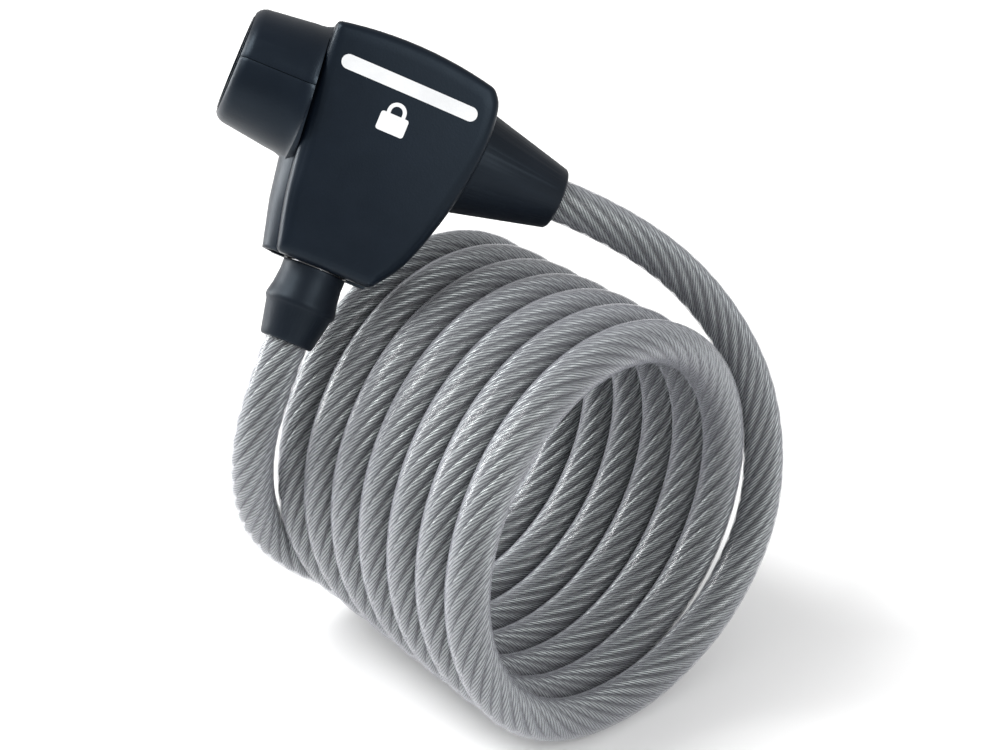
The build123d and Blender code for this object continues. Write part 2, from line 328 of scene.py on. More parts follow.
@dataclass(frozen=True)
class MouldedPlastic:
    """Dark moulded plastic with a fine grain."""

    name: str
    dark: Colour
    light: Colour
    rough: tuple[float, float]
    mottle: float = 90.0
    patches: float = 240.0
    grain: float = 2600.0
    depth: float = 0.035 * MM
    relief: float = 0.55
    reflection: float = 0.24
    sheen: Colour = (1.0, 1.0, 1.0, 1.0)

    def build(self) -> bpy.types.Material:
        """Builds the material: faint mottling, a fine grain and uneven gloss.

        Returns:
            The material.
        """
        shader = Shader(self.name).set(IOR=1.5, Specular_IOR_Level=self.reflection, Specular_Tint=self.sheen)
        shader.tint(shader.noise(self.mottle, 4.0), "Fac", self.dark, self.light)
        shader.gloss(self.patches, 2.0, self.rough)
        shader.bump(shader.noise(self.grain, 2.0, 0.6), "Fac", self.depth, self.relief)
        return shader.material


@dataclass(frozen=True)
class Metal:
    """Machined, plated or cast metal."""

    name: str
    dark: Colour
    light: Colour
    rough: tuple[float, float]
    grain: float = 900.0
    depth: float = 0.01 * MM
    mottle: float = 160.0
    patches: float = 420.0
    relief: float = 0.5

    def build(self) -> bpy.types.Material:
        """Builds the material: uneven colour and gloss, with fine tool marks.

        Returns:
            The material.
        """
        shader = Shader(self.name).set(Metallic=1.0)
        shader.tint(shader.noise(self.mottle, 4.0), "Fac", self.dark, self.light)
        shader.gloss(self.patches, 3.0, self.rough)
        shader.bump(shader.noise(self.grain, 3.0), "Fac", self.depth, self.relief)
        return shader.material


@dataclass(frozen=True)
class ClearVinyl:
    """The cable's clear sheath: mostly see-through, whiter and glossier towards its edges."""

    name: str = "clear_vinyl"
    colour: Colour = (0.47, 0.475, 0.53, 1.0)
    edge_blend: float = 0.22
    cover: tuple[float, float] = (0.13, 0.80)
    rough: tuple[float, float] = (0.10, 0.26)
    cloud: float = 130.0
    ripple: float = 60.0
    ripple_depth: float = 0.15 * MM

    def build(self) -> bpy.types.Material:
        """Builds the material, with an edge that shows more of the vinyl, as a thick clear wall does.

        Returns:
            The material.
        """
        shader = Shader(self.name).set(Base_Color=self.colour, IOR=1.5, Specular_IOR_Level=0.6)
        shader.set(Coat_Weight=0.3, Coat_Roughness=0.06)
        edge = shader.add("ShaderNodeLayerWeight")
        edge.inputs["Blend"].default_value = self.edge_blend
        shader.join(shader.spread(edge, "Facing", *self.cover), "Result", shader.surface, "Alpha")
        shader.gloss(self.cloud, 3.0, self.rough)
        shader.bump(shader.noise(self.ripple, 2.0), "Fac", self.ripple_depth, 0.12)
        return shader.material


@dataclass(frozen=True)
class WireStrand:
    """Steel strands: each is laid of fine wires, which show as thin lines along it, with painted shade in
    the grooves between the wires.
    """

    name: str = "wire_strand"
    wires: int = 9
    wire_lay: float = 15.0 * MM
    # painted shade: near-black colour for the grooves between the wires, which are shaded steel
    groove_painted_shade: Colour = (0.030, 0.038, 0.037, 1.0)
    wire: Colour = (0.31, 0.335, 0.33, 1.0)
    rough: tuple[float, float] = (0.30, 0.46)
    line_ends: tuple[float, float] = (-1.0, 0.6)
    depth: float = 0.06 * MM

    def build(self) -> bpy.types.Material:
        """Builds the material: wire lines from the strand's own round and along attributes, with painted
        shade in the grooves between the wires as well as a bump.

        Returns:
            The material.
        """
        shader = Shader(self.name).set(Metallic=0.85)
        section = shader.add("ShaderNodeAttribute", attribute_name="section")
        parts = shader.add("ShaderNodeSeparateXYZ")
        shader.join(section, "Vector", parts, "Vector")
        angle = shader.add("ShaderNodeMath", operation="ARCTAN2")
        shader.join(parts, "Y", angle, 0)
        shader.join(parts, "X", angle, 1)
        round_ = shader.add("ShaderNodeMath", operation="MULTIPLY")
        shader.join(angle, 0, round_, 0)
        round_.inputs[1].default_value = float(self.wires)
        along = shader.add("ShaderNodeAttribute", attribute_name="along")
        turn = shader.add("ShaderNodeMath", operation="MULTIPLY_ADD")
        shader.join(along, "Fac", turn, 0)
        turn.inputs[1].default_value = -2 * math.pi * self.wires / self.wire_lay
        shader.join(round_, 0, turn, 2)
        wave = shader.add("ShaderNodeMath", operation="SINE")
        shader.join(turn, 0, wave, 0)
        line = shader.add("ShaderNodeMapRange")
        line.inputs["From Min"].default_value, line.inputs["From Max"].default_value = self.line_ends
        shader.join(wave, 0, line, "Value")
        # the wire pattern paints shade into the grooves between the wires and gives the crowns the steel's
        # own colour; the same pattern makes the bump
        shader.tint(line, "Result", self.groove_painted_shade, self.wire)
        shader.gloss(900.0, 2.0, self.rough)
        shader.bump(line, "Result", self.depth, 0.7)
        return shader.material


class FinishBook:
    """The finishes of the object, one material for each, made when first asked for."""

    RECIPES: dict[str, object] = {
        "housing": MouldedPlastic(
            "housing_plastic", (0.0016, 0.0032, 0.0068, 1.0), (0.0030, 0.0052, 0.0100, 1.0), (0.32, 0.46),
            sheen=(0.66, 0.84, 1.0, 1.0)),
        "boot": MouldedPlastic(
            "boot_plastic", (0.0020, 0.0034, 0.0066, 1.0), (0.0036, 0.0054, 0.0096, 1.0), (0.38, 0.52),
            sheen=(0.70, 0.86, 1.0, 1.0)),
        "vinyl": ClearVinyl(),
        "strand": WireStrand(),
        "core": MouldedPlastic("cable_core", (0.05, 0.05, 0.05, 1.0), (0.08, 0.08, 0.08, 1.0), (0.5, 0.6)),
        "steel": Metal("zinc_plated_steel", (0.50, 0.51, 0.53, 1.0), (0.68, 0.69, 0.71, 1.0), (0.22, 0.40)),
        "black_steel": Metal(
            "blackened_steel", (0.012, 0.013, 0.015, 1.0), (0.03, 0.032, 0.035, 1.0), (0.35, 0.5)),
        "die_cast": Metal(
            "zinc_casting", (0.34, 0.35, 0.36, 1.0), (0.46, 0.47, 0.48, 1.0), (0.42, 0.60),
            grain=1500.0, depth=0.03 * MM),
        "brass": Metal("machined_brass", (0.58, 0.43, 0.19, 1.0), (0.78, 0.62, 0.33, 1.0), (0.20, 0.36)),
        "chrome": Metal("polished_plate", (0.60, 0.61, 0.63, 1.0), (0.80, 0.81, 0.83, 1.0), (0.08, 0.20)),
        "ink": MouldedPlastic("printed_ink", (0.62, 0.63, 0.64, 1.0), (0.74, 0.75, 0.76, 1.0), (0.4, 0.5)),
        "rubber": MouldedPlastic(
            "seal_rubber", (0.012, 0.012, 0.012, 1.0), (0.022, 0.022, 0.022, 1.0), (0.6, 0.8)),
    }

    def __init__(self) -> None:
        """Starts with no material made."""
        self._made: dict[str, bpy.types.Material] = {}

    def get(self, name: str) -> bpy.types.Material:
        """Gives a finish's material.

        Args:
            name: a key of RECIPES.

        Returns:
            The material, the same one each time.
        """
        if name not in self._made:
            self._made[name] = self.RECIPES[name].build()
        return self._made[name]


# ---- the head's own frame ------------------------------------------------------------------------
@dataclass(frozen=True)
class HeadFrame:
    """The lock head's frame: x along the barrel to the boot, z up the plug, face towards -y."""

    origin: Vector
    x: Vector
    y: Vector
    z: Vector

    KEY_JOINT_X: float = -20.0 * MM

    @classmethod
    def from_joints(cls, joints: Iterable[dict]) -> "HeadFrame":
        """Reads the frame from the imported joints.

        Args:
            joints: the record's joints; the head lifts along z and the key turns round x.

        Returns:
            The head's frame.
        """
        named = {joint["name"]: joint for joint in joints}
        z = Vector(named["head_pull"]["axis"]).normalized()
        x = Vector(named["key_turn"]["axis"]).normalized()
        x = (x - z * x.dot(z)).normalized()
        origin = Vector(named["key_turn"]["pos_m"]) - x * cls.KEY_JOINT_X
        return cls(origin, x, z.cross(x), z)

    def at(self, x: float, y: float, z: float) -> Vector:
        """A point of the head's frame, in millimetres, as a point of the shared frame in metres."""
        return self.origin + (self.x * x + self.y * y + self.z * z) * MM


# ---- cable ---------------------------------------------------------------------------------------
@dataclass
class CableRoute:
    """The cable's centreline, as control points in millimetres, the same as the CAD's."""

    head: HeadFrame
    turn_r: float = 36.2
    turn_shrink: float = 0.15
    turn_pitch: float = 8.05
    pitch_growth: float = 0.04
    turn_lean: float = 3.76
    front_x: float = 30.0
    side_y: float = -1.1
    drift_y: float = 0.45
    steps_per_turn: int = 16
    steps: int = 110
    cable_r: float = 4.0
    boot_end: float = 36.5
    boot_run: float = 16.0
    sleeve_end: float = -43.0
    plug_run: float = 13.0
    hold: float = 10.0
    root: float = 24.0
    ferrule: float = 9.0
    spans: int = 10
    lead: tuple[tuple[float, float, float], ...] = (
        (17.5, 37.5, 70.5), (26.5, 44.5, 51.5), (33.0, 41.5, 30.5), (35.5, 28.5, 14.5), (35.3, 13.0, 5.6),
        (34.7, -1.1, 3.6), (34.0, -15.2, 6.1), (33.0, -27.2, 14.1), (31.7, -35.2, 26.1),
    )
    tail: tuple[tuple[float, float, float], ...] = (
        (-26.3, -25.0, 14.5), (-27.0, -36.3, 27.0), (-23.0, -42.8, 42.5),
    )

    def coil_point(self, step: int) -> Vector:
        """A control point of the coil, whose turns shrink, drift and lean a little.

        Args:
            step: number of the point, from the front of the coil.

        Returns:
            The point in metres.
        """
        turns = step / self.steps_per_turn
        angle = 2 * math.pi * turns
        radius = self.turn_r - self.turn_shrink * turns
        lean = math.radians(self.turn_lean)
        outside = radius / math.cos(math.pi / self.steps_per_turn)
        x = self.front_x - self.turn_pitch * turns - self.pitch_growth * turns**2
        x -= radius * math.sin(lean) * math.sin(angle)
        y = self.side_y + self.drift_y * turns - outside * math.cos(angle)
        z = radius + self.cable_r + outside * math.sin(angle) * math.cos(lean)
        return Vector((x, y, z)) * MM

    def points(self) -> list[Vector]:
        """All control points, from inside the boot to inside the plug's ferrule.

        Returns:
            The points in metres, in order.
        """
        start = [self.head.at(self.boot_end + run, 0, 0) for run in (-self.root, -self.hold, self.boot_run)]
        lead = [Vector(p) * MM for p in self.lead]
        coil = [self.coil_point(step) for step in range(self.steps)]
        tail = [Vector(p) * MM for p in self.tail]
        end = [self.head.at(0, 0, self.sleeve_end + run) for run in (-self.plug_run, self.ferrule)]
        return start + lead + coil + tail + end

    def exit(self) -> Vector:
        """Where the cable leaves the boot."""
        return self.head.at(self.boot_end, 0, 0)

    def curve(self, name: str) -> bpy.types.Object:
        """Makes the route as a smooth spline.

        Args:
            name: name of the curve.

        Returns:
            A curve object with no thickness.
        """
        route = polyline(name, "NURBS", self.points())
        route.data.resolution_u = self.spans
        spline = route.data.splines[0]
        spline.order_u = 3
        spline.use_endpoint_u = True
        return route

    def line(self) -> list[Vector]:
        """The points that the smooth spline passes.

        Returns:
            The points in metres, in order.
        """
        bare = self.curve("route")
        mesh = bpy.data.meshes.new_from_object(bare)
        found = [vertex.co.copy() for vertex in mesh.vertices]
        bpy.data.meshes.remove(mesh)
        bpy.data.curves.remove(bare.data)
        return found


class NodeSheet(NodeBench):
    """A Geometry Nodes tree under construction."""

    def __init__(self, name: str) -> None:
        """Starts a tree that takes and gives geometry.

        Args:
            name: name of the tree.
        """
        super().__init__(bpy.data.node_groups.new(name, "GeometryNodeTree"))
        self.tree.interface.new_socket("Geometry", in_out="INPUT", socket_type="NodeSocketGeometry")
        self.tree.interface.new_socket("Geometry", in_out="OUTPUT", socket_type="NodeSocketGeometry")
        self.start = self.tree.nodes.new("NodeGroupInput")
        self.end = self.tree.nodes.new("NodeGroupOutput")
        self.ids: dict[str, str] = {}

    def take(self, kind: str, *names: str) -> None:
        """Adds named inputs of one type.

        Args:
            kind: the socket type, such as Float.
            names: names of the inputs.
        """
        for name in names:
            socket = self.tree.interface.new_socket(name, in_out="INPUT", socket_type=f"NodeSocket{kind}")
            self.ids[name] = socket.identifier

    def circle(self, sides: str, radius: str) -> bpy.types.Node:
        """Adds a circle whose number of points and radius are inputs of the tree.

        Args:
            sides: name of the input for its number of points.
            radius: name of the input for its radius.

        Returns:
            The circle's node.
        """
        ring = self.add("GeometryNodeCurvePrimitiveCircle")
        self.join(self.start, sides, ring, "Resolution")
        self.join(self.start, radius, ring, "Radius")
        return ring

    def path(self) -> bpy.types.Node:
        """Takes the incoming curve in even steps of the input Step, with no twist of its own.

        Returns:
            The node that gives the curve.
        """
        even = self.add("GeometryNodeResampleCurve", mode="LENGTH")
        self.join(self.start, "Geometry", even, "Curve")
        self.join(self.start, "Step", even, "Length")
        normal = self.add("GeometryNodeSetCurveNormal", mode="MINIMUM_TWIST")
        self.join(even, "Curve", normal, "Curve")
        return normal

    def named(
        self, name: str, kind: str, carrier: bpy.types.Node, value: bpy.types.Node, output: str
    ) -> bpy.types.Node:
        """Stores a value on a curve's points.

        Args:
            name: name of the attribute.
            kind: its data type.
            carrier: node whose Curve output carries it.
            value: node that gives the value.
            output: that node's output.

        Returns:
            The Store Named Attribute node.
        """
        store = self.add("GeometryNodeStoreNamedAttribute", data_type=kind, domain="POINT")
        store.inputs["Name"].default_value = name
        self.join(carrier, "Curve", store, "Geometry")
        self.join(value, output, store, "Value")
        return store

    def sweep(
        self, path: bpy.types.Node, path_output: str, section: bpy.types.Node, section_output: str
    ) -> None:
        """Sweeps a section along a path, and ends the tree in Realize Instances and Set Material.

        Args:
            path: node that gives the path.
            path_output: its output.
            section: node that gives the section.
            section_output: its output.
        """
        solid = self.add("GeometryNodeCurveToMesh")
        solid.inputs["Fill Caps"].default_value = True
        self.join(path, path_output, solid, "Curve")
        self.join(section, section_output, solid, "Profile Curve")
        smooth = self.add("GeometryNodeSetShadeSmooth")
        real = self.add("GeometryNodeRealizeInstances")
        dress = self.add("GeometryNodeSetMaterial")
        self.join(solid, "Mesh", smooth, "Geometry")
        self.join(smooth, "Geometry", real, "Geometry")
        self.join(real, "Geometry", dress, "Geometry")
        self.join(self.start, "Material", dress, "Material")
        self.join(dress, "Geometry", self.end, 0)

    def run(self, base: bpy.types.Object, name: str, **values: object) -> bpy.types.Object:
        """Runs the tree on an object and keeps the result as a plain mesh.

        Args:
            base: object that the tree starts from.
            name: name of the result.
            values: the inputs, with underscores for spaces.

        Returns:
            A new mesh object at the origin; the base object is removed.
        """
        modifier = base.modifiers.new("nodes", "NODES")
        modifier.node_group = self.tree
        for key, value in values.items():
            modifier[self.ids[key.replace("_", " ")]] = value
        bpy.context.scene.collection.objects.link(base)
        graph = bpy.context.evaluated_depsgraph_get()
        graph.update()
        mesh = bpy.data.meshes.new_from_object(base.evaluated_get(graph), depsgraph=graph)
        base.modifiers.clear()
        bpy.data.objects.remove(base)
        mesh.name = name
        return placed(name, mesh)


@dataclass
class SpiralCable:
    """The cable itself: strands laid round a core, in a clear sheath."""

    route: CableRoute
    finishes: FinishBook
    sheath_r: float = 4.0 * MM
    rope_r: float = 3.88 * MM
    strands: int = 9
    lay: float = 40.0 * MM
    strand_fit: float = 1.02
    core_reach: float = 0.55
    rope_step: float = 1.7 * MM
    core_step: float = 2.5 * MM
    sheath_step: float = 2.0 * MM
    strand_sides: int = 9
    core_sides: int = 12
    sheath_sides: int = 28

    def follow(self) -> bpy.types.Object:
        """The route as a polyline curve, for the trees to follow."""
        return polyline("follow", "POLY", self.route.line())

    def laid_tree(self) -> NodeSheet:
        """Builds the tree that sweeps round strands along the route and twists them together.

        Returns:
            The tree.
        """
        sheet = NodeSheet("laid_strands")
        sheet.take("Float", "Step", "Lay", "Strand Radius", "Ring Radius")
        sheet.take("Int", "Strands", "Sides")
        sheet.take("Material", "Material")
        path = sheet.path()
        place = sheet.add("GeometryNodeSplineParameter")
        turns = sheet.add("ShaderNodeMath", operation="DIVIDE")
        sheet.join(place, "Length", turns, 0)
        sheet.join(sheet.start, "Lay", turns, 1)
        angle = sheet.add("ShaderNodeMath", operation="MULTIPLY")
        angle.inputs[1].default_value = 2 * math.pi
        sheet.join(turns, 0, angle, 0)
        tilt = sheet.add("GeometryNodeSetCurveTilt")
        sheet.join(path, "Curve", tilt, "Curve")
        sheet.join(angle, 0, tilt, "Tilt")
        along = sheet.named("along", "FLOAT", tilt, place, "Length")
        strand = sheet.circle("Sides", "Strand Radius")
        here = sheet.add("GeometryNodeInputPosition")
        section = sheet.named("section", "FLOAT_VECTOR", strand, here, "Position")
        bundle = sheet.add("GeometryNodeInstanceOnPoints")
        sheet.join(sheet.circle("Strands", "Ring Radius"), "Curve", bundle, "Points")
        sheet.join(section, "Geometry", bundle, "Instance")
        real = sheet.add("GeometryNodeRealizeInstances")
        sheet.join(bundle, "Instances", real, "Geometry")
        sheet.sweep(along, "Geometry", real, "Geometry")
        return sheet

    def tube_tree(self) -> NodeSheet:
        """Builds the tree that sweeps one round tube along the route.

        Returns:
            The tree.
        """
        sheet = NodeSheet("round_tube")
        sheet.take("Float", "Step", "Radius")
        sheet.take("Int", "Sides")
        sheet.take("Material", "Material")
        sheet.sweep(sheet.path(), "Curve", sheet.circle("Sides", "Radius"), "Curve")
        return sheet

    @staticmethod
    def outward(piece: bpy.types.Object) -> None:
        """Turns a closed mesh's faces outwards.

        Args:
            piece: the piece that has the mesh.
        """
        work = bmesh.new()
        work.from_mesh(piece.data)
        bmesh.ops.recalc_face_normals(work, faces=work.faces)
        work.to_mesh(piece.data)
        work.free()

    def bend(self, piece: bpy.types.Object) -> None:
        """Bakes the piece's placement into its mesh; the places by the plug and the boot are worked out, but
        the coil is not made to give.

        Args:
            piece: the piece of the cable.
        """
        still = self.route.head.at(0, 0, self.route.sleeve_end + self.route.ferrule)
        moved = self.route.head.at(self.route.boot_end - self.route.hold, 0, 0)
        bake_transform(piece)

    def build(self) -> list[bpy.types.Object]:
        """Returns:
            The three pieces.
        """
        share = math.sin(math.pi / self.strands)
        ring = self.rope_r / (1 + share)
        strand = ring * share * self.strand_fit
        get = self.finishes.get
        rope = self.laid_tree().run(
            self.follow(), "wire_rope", Step=self.rope_step, Lay=self.lay, Strand_Radius=strand,
            Ring_Radius=ring, Strands=self.strands, Sides=self.strand_sides, Material=get("strand"))
        tube = self.tube_tree()
        core = tube.run(
            self.follow(), "rope_core", Step=self.core_step, Radius=ring - strand * self.core_reach,
            Sides=self.core_sides, Material=get("core"))
        sheath = tube.run(
            self.follow(), "vinyl_sheath", Step=self.sheath_step, Radius=self.sheath_r,
            Sides=self.sheath_sides, Material=get("vinyl"))
        pieces = [rope, core, sheath]
        for piece in pieces:
            self.outward(piece)
            self.bend(piece)
        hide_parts("cable_lead", "cable_coil", "cable_tail", "cable_root")
        line = self.route.line()
        self.route.exit()
        return pieces


# ---- lock head -----------------------------------------------------------------------------------
@dataclass
class MouldedShell:
    """A moulded piece of the head, taken from its CAD node with its edges eased."""

    node: str
    finish: str
    slot: Slot
    body: str
    ease: float = 0.25 * MM
    ease_steps: int = 3
    seam_angle: float = 32.0
    weld: float = 0.004 * MM
    flat_angle: float = 0.6

    def build(self, frame: dict, finishes: FinishBook) -> bpy.types.Object:
        """Builds the shell.

        Args:
            frame: the loaded frame.
            finishes: the materials.

        Returns:
            The shell's object.
        """
        mesh = frame["nodes"][self.node].data.copy()
        mesh.materials.clear()
        work = bmesh.new()
        work.from_mesh(mesh)
        bmesh.ops.remove_doubles(work, verts=work.verts, dist=self.weld)
        flat = math.radians(self.flat_angle)
        bmesh.ops.dissolve_limit(work, angle_limit=flat, verts=work.verts, edges=work.edges)
        work.to_mesh(mesh)
        work.free()
        piece = placed(f"{self.node}_shell", mesh)
        eased = piece.modifiers.new("eased_edges", "BEVEL")
        eased.width = self.ease
        eased.segments = self.ease_steps
        eased.limit_method = "ANGLE"
        eased.angle_limit = math.radians(self.seam_angle)
        eased.harden_normals = True
        mesh.polygons.foreach_set("use_smooth", [True] * len(mesh.polygons))
        graph = bpy.context.evaluated_depsgraph_get()
        final = bpy.data.meshes.new_from_object(piece.evaluated_get(graph), depsgraph=graph)
        piece.modifiers.clear()
        piece.data = final
        final.materials.append(finishes.get(self.finish))
        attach(piece, self.body)
        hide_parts(self.node)
        return piece


@dataclass
class FaceSkin:
    """The moulded face of the head: a tray with a crowned front and well rounded edges."""

    head: HeadFrame
    top: float = 12.3
    crown_top: float = 13.9
    bottom: float = -28.7
    deep_top: float = 12.6
    deep_bottom: float = 7.6
    wrap: float = 3.6
    wall: float = 1.4
    rounding: float = 1.8
    corner: float = 0.9
    swell: float = 0.75
    swell_centre: tuple[float, float] = (3.2, -7.5)
    swell_reach: tuple[float, float] = (16.5, 21.0)
    inner_share: float = 0.4
    shares: tuple[float, ...] = (0.92, 0.82, 0.68, 0.52, 0.34, 0.16)
    arch_steps: int = 12
    floor_steps: int = 6
    corner_steps: int = 5
    edge_steps: int = 8
    left: tuple[tuple[float, float], ...] = (
        (-13.5, 12.3), (-13.1, 3.4), (-12.3, -5.0), (-11.2, -13.0), (-10.1, -20.0), (-8.0, -28.7))
    right: tuple[tuple[float, float], ...] = (
        (9.8, -28.7), (13.9, -22.6), (17.1, -13.0), (18.9, -4.0), (19.4, 3.0), (18.6, 9.4), (16.8, 12.3))

    def depth(self, height: float) -> float:
        """How far the face's plane stands in front of the plug's axis at one height."""
        rise = (height - self.bottom) / (self.top - self.bottom)
        return self.deep_bottom + rise * (self.deep_top - self.deep_bottom)

    def swelling(self, x: float, height: float) -> float:
        """How far the crowned front stands proud of that plane at one place.

        Args:
            x: the place along the barrel.
            height: the place up the plug.

        Returns:
            The distance in millimetres.
        """
        across = (x - self.swell_centre[0]) / self.swell_reach[0]
        up = (height - self.swell_centre[1]) / self.swell_reach[1]
        return self.swell * max(0.0, 1 - across**2) * max(0.0, 1 - up**2)

    def left_at(self, height: float) -> float:
        """The left edge's place at one height."""
        heights = [h for _, h in reversed(self.left)]
        return float(np.interp(height, heights, [x for x, _ in reversed(self.left)]))

    @staticmethod
    def smooth(points: tuple[tuple[float, float], ...], steps: int = 4) -> list[Vector]:
        """A smooth line through points.

        Args:
            points: the points to pass.
            steps: pieces between two of them.

        Returns:
            The line's points.
        """
        all_ = [Vector(p) for p in points]
        all_ = [all_[0] * 2 - all_[1], *all_, all_[-1] * 2 - all_[-2]]
        line = []
        for a, b, c, d in zip(all_, all_[1:], all_[2:], all_[3:]):
            for step in range(steps):
                t = step / steps
                square, cube = 2 * a - 5 * b + 4 * c - d, 3 * b - a - 3 * c + d
                line.append(0.5 * (2 * b + (c - a) * t + square * t**2 + cube * t**3))
        return [*line, all_[-2]]

    def outline(self) -> list[Vector]:
        """The tray's outline, anticlockwise from the top left, with small round corners.

        Returns:
            The outline's points, each with its place along the barrel and up the plug.
        """
        right_top, left_top = Vector(self.right[-1]), Vector(self.left[0])
        arch = []
        for step in range(self.arch_steps + 1):
            t = step / self.arch_steps
            flat = right_top.lerp(left_top, t)
            arch.append(Vector((flat.x, flat.y + 4 * t * (1 - t) * (self.crown_top - self.top))))
        low_left, low_right = Vector(self.left[-1]), Vector(self.right[0])
        floor = [low_left.lerp(low_right, step / self.floor_steps) for step in range(self.floor_steps + 1)]
        made = []
        sides = [self.smooth(self.left), floor, self.smooth(self.right), arch]
        for side, after in zip(sides, sides[1:] + sides[:1]):
            corner = side[-1]
            made += [p for p in side if min((p - side[0]).length, (p - corner).length) > self.corner]
            before, beyond = (side[-2] - corner).normalized(), (after[1] - corner).normalized()
            start, end = corner + before * self.corner, corner + beyond * self.corner
            for step in range(self.corner_steps + 1):
                t = step / self.corner_steps
                made.append(start * (1 - t) ** 2 + corner * 2 * t * (1 - t) + end * t**2)
        return made

    def rings(self) -> list[list[tuple[float, float, float]]]:
        """The tray's rings of points, from its inner floor round its edge to its front.

        Returns:
            The rings, in order, each with as many points as the outline.
        """
        line = self.outline()
        centre = sum(line, Vector((0.0, 0.0))) / len(line)
        rings = []

        def ring(inset: float, back: float, share: float = 1.0, crowned: bool = False) -> None:
            """Adds one ring, set in from the outline and back from the face.

            Args:
                inset: how far it is set in.
                back: how far it stands behind the face's plane.
                share: its size, where 1 is the whole outline.
                crowned: whether it follows the crowned front.
            """
            points = []
            for p in line:
                away = p - centre
                at = centre + away * (1 - inset / away.length) * share
                lift = self.swelling(at.x, at.y) if crowned else 0.0
                points.append((at.x, -self.depth(at.y) + back - lift, at.y))
            rings.append(points)

        ring(self.wall, self.wall, self.inner_share)
        ring(self.wall, self.wall)
        ring(self.wall, self.wrap)
        ring(0.0, self.wrap)
        for step in range(self.edge_steps + 1):
            angle = math.radians(90 * step / self.edge_steps)
            inset, back = self.rounding * (1 - math.cos(angle)), self.rounding * (1 - math.sin(angle))
            ring(inset, back, crowned=step == self.edge_steps)
        for share in self.shares:
            ring(self.rounding, 0.0, share, crowned=True)
        return rings

    def build(self, finishes: FinishBook) -> bpy.types.Object:
        """Builds the face.

        Args:
            finishes: the materials.

        Returns:
            The face's object.
        """
        work = bmesh.new()
        loops = [[work.verts.new(self.head.at(*p)) for p in ring] for ring in self.rings()]
        for low, high in zip(loops, loops[1:]):
            bridge(work, low, high)
        work.faces.new(loops[0])
        work.faces.new(loops[-1])
        face = placed("moulded_face", closed_mesh(work, "moulded_face", finishes.get("housing")))
        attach(face, "head")
        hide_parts("face_cover")
        return face


@dataclass
class SideWall:
    """The housing's left wall under the barrel: a soft bulge that sweeps out into the barrel's underside."""

    head: HeadFrame
    face: FaceSkin
    barrel_r: float = 12.0
    sweep_r: float = 1.9
    bulge: float = 2.5
    tuck: float = 1.2
    side_gap: float = 1.5
    overlap: float = 0.4
    sunk: float = 0.25
    thick: float = 0.7
    top_place: float = -12.0
    across: int = 22
    down: int = 30

    def point(self, u: float, v: float) -> Vector:
        """A point of the wall.

        Args:
            u: from the face's side, 0, to the back, 1.
            v: from the barrel, 0, to the bottom, 1.

        Returns:
            The point in the shared frame.
        """
        reach = 2 * u - 1
        behind_face = self.face.depth(self.top_place) - self.face.wrap + self.overlap
        width = min(self.barrel_r - self.side_gap, behind_face)
        top = self.tuck - math.sqrt(self.barrel_r**2 - (reach * width) ** 2)
        height = top + (self.face.bottom - top) * v
        y = reach * (self.face.depth(height) - self.face.wrap + self.overlap)
        below = top - height
        sweep = 0.0
        if below < self.sweep_r:
            sweep = self.sweep_r - math.sqrt(max(0.0, self.sweep_r**2 - (self.sweep_r - below) ** 2))
        out = self.bulge * (1 - reach**2) - self.sunk
        return self.head.at(self.face.left_at(height) - out - sweep, y, height)

    def build(self, finishes: FinishBook) -> bpy.types.Object:
        """Builds the wall.

        Args:
            finishes: the materials.

        Returns:
            The wall's object.
        """
        work = bmesh.new()
        grid = [[work.verts.new(self.point(i / self.across, j / self.down)) for i in range(self.across + 1)]
                for j in range(self.down + 1)]
        for row, below in zip(grid, grid[1:]):
            for k in range(self.across):
                work.faces.new((row[k], below[k], below[k + 1], row[k + 1]))
        inward = self.head.x * self.thick * MM
        again = bmesh.ops.duplicate(work, geom=work.verts[:] + work.edges[:] + work.faces[:])
        copies = [item for item in again["geom"] if isinstance(item, bmesh.types.BMVert)]
        bmesh.ops.translate(work, vec=inward, verts=copies)
        rims = [edge for edge in work.edges if edge.is_boundary]
        bmesh.ops.bridge_loops(work, edges=rims)
        wall = placed("side_wall", closed_mesh(work, "side_wall", finishes.get("housing")))
        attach(wall, "head")
        return wall


